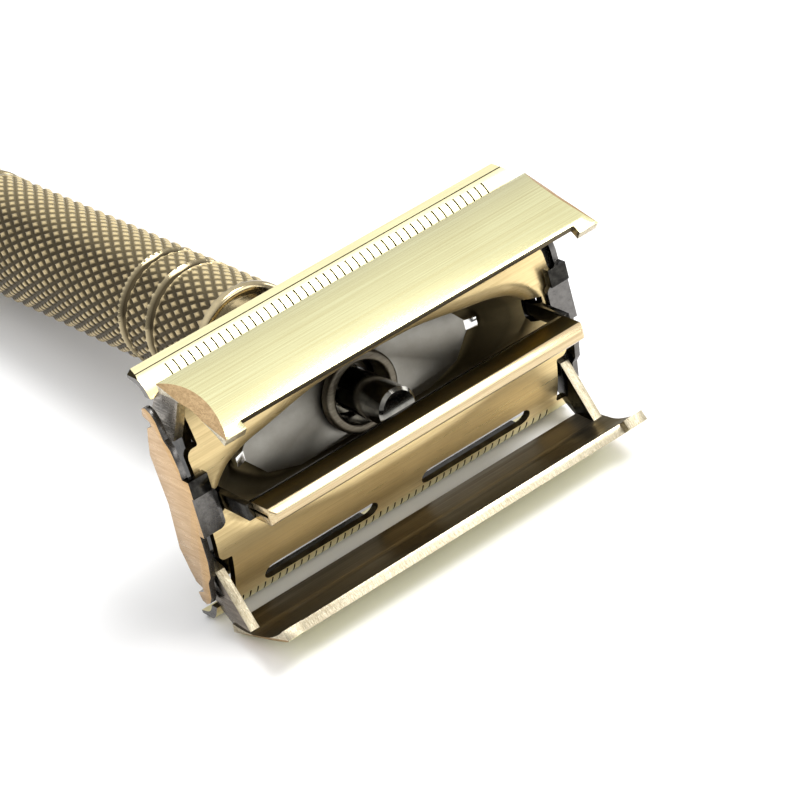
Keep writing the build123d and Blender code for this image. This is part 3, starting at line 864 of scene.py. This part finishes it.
knurled("handle_grip", "handle", "handle_tube", handle_radius, HANDLE_TOP, HANDLE_END, handle_plain, KNURL)
knurled("knob_grip", "knob", "knob", knob_radius, KNOB_TOP, KNOB_END, knob_plain, KNURL_KNOB)


# ---------------------------------------------------------------- stage
LIT_POINT = Vector((0, -0.03, 0))     # on the floor under the head


def make_floor():
    """A matt white floor, 3 m square."""
    bm = bmesh.new()
    bmesh.ops.create_grid(bm, x_segments=8, y_segments=8, size=1.5)
    me = bpy.data.meshes.new("floor")
    bm.to_mesh(me)
    bm.free()
    o = bpy.data.objects.new("floor", me)
    scene.collection.objects.link(o)
    t = Tree("floor_white")
    n = t.noise((0.06, 0.06, 0.06), 3.0, 0.5)
    colour = t.ramp(n, [(0.3, (0.93, 0.93, 0.93)), (0.7, (0.95, 0.95, 0.95))])
    me.materials.append(t.finish(colour, t.remap(n, 0, 1, 0.6, 0.7), metallic=0.0))


def area_light(name, place, size, power):
    """A rectangular light that faces LIT_POINT; place and size in metres, power in watts."""
    data = bpy.data.lights.new(name, "AREA")
    data.shape = "RECTANGLE"
    data.size, data.size_y = size
    data.energy = power
    o = bpy.data.objects.new(name, data)
    o.location = place
    o.rotation_euler = (LIT_POINT - Vector(place)).to_track_quat("-Z", "Y").to_euler()
    scene.collection.objects.link(o)


SKY_LEAN = math.radians(27)       # the bright top of the sky leans back by this
SKY = ((0.0, 0.38), (0.3, 0.62), (0.6, 0.85), (0.95, 1.12))     # height, brightness


def make_world():
    """Bright overhead, behind and to the left, dimmer at the front."""
    world = bpy.data.worlds.new("studio")
    world.use_nodes = True
    nt = world.node_tree
    bg = nt.nodes["Background"]
    tc = nt.nodes.new("ShaderNodeTexCoord")
    lean = nt.nodes.new("ShaderNodeMapping")
    lean.vector_type = "POINT"
    lean.inputs["Rotation"].default_value = (SKY_LEAN, 0, 0)
    sep = nt.nodes.new("ShaderNodeSeparateXYZ")
    nt.links.new(tc.outputs["Generated"], lean.inputs["Vector"])
    nt.links.new(lean.outputs["Vector"], sep.inputs[0])
    ramp = nt.nodes.new("ShaderNodeValToRGB")
    el = ramp.color_ramp.elements
    while len(el) < len(SKY):
        el.new(0.5)
    for e, (height, v) in zip(el, SKY):
        e.position = height
        e.color = (v, v, v, 1)
    nt.links.new(sep.outputs[2], ramp.inputs["Fac"])
    nt.links.new(ramp.outputs["Color"], bg.inputs["Color"])
    left = nt.nodes.new("ShaderNodeMapRange")
    for key, v in (("From Min", -0.7), ("From Max", 0.3), ("To Min", 1.25), ("To Max", 1.0)):
        left.inputs[key].default_value = v
    nt.links.new(sep.outputs[0], left.inputs["Value"])
    nt.links.new(left.outputs["Result"], bg.inputs["Strength"])
    scene.world = world


make_floor()
make_world()
area_light("key", (0.20, -0.22, 0.56), (0.30, 0.24), 2.5)
area_light("side", (0.55, -0.02, 0.12), (0.30, 0.20), 0.6)
area_light("front", (0.30, -0.50, 0.30), (0.45, 0.30), 1.0)

scene.view_settings.view_transform = "Standard"

# the camera, at the photograph's viewing angle
cam_data = bpy.data.cameras.new("camera")
cam_data.lens = 175.256
cam_data.sensor_width = 36.0
cam_data.clip_start = 0.01
cam = bpy.data.objects.new("camera", cam_data)
cam.location = Vector((-151.81628, -290.64936, 202.72629)) * MM
cam.rotation_euler = [math.radians(a) for a in (56.731922, 10.705106, -38.078577)]
scene.collection.objects.link(cam)
scene.camera = cam
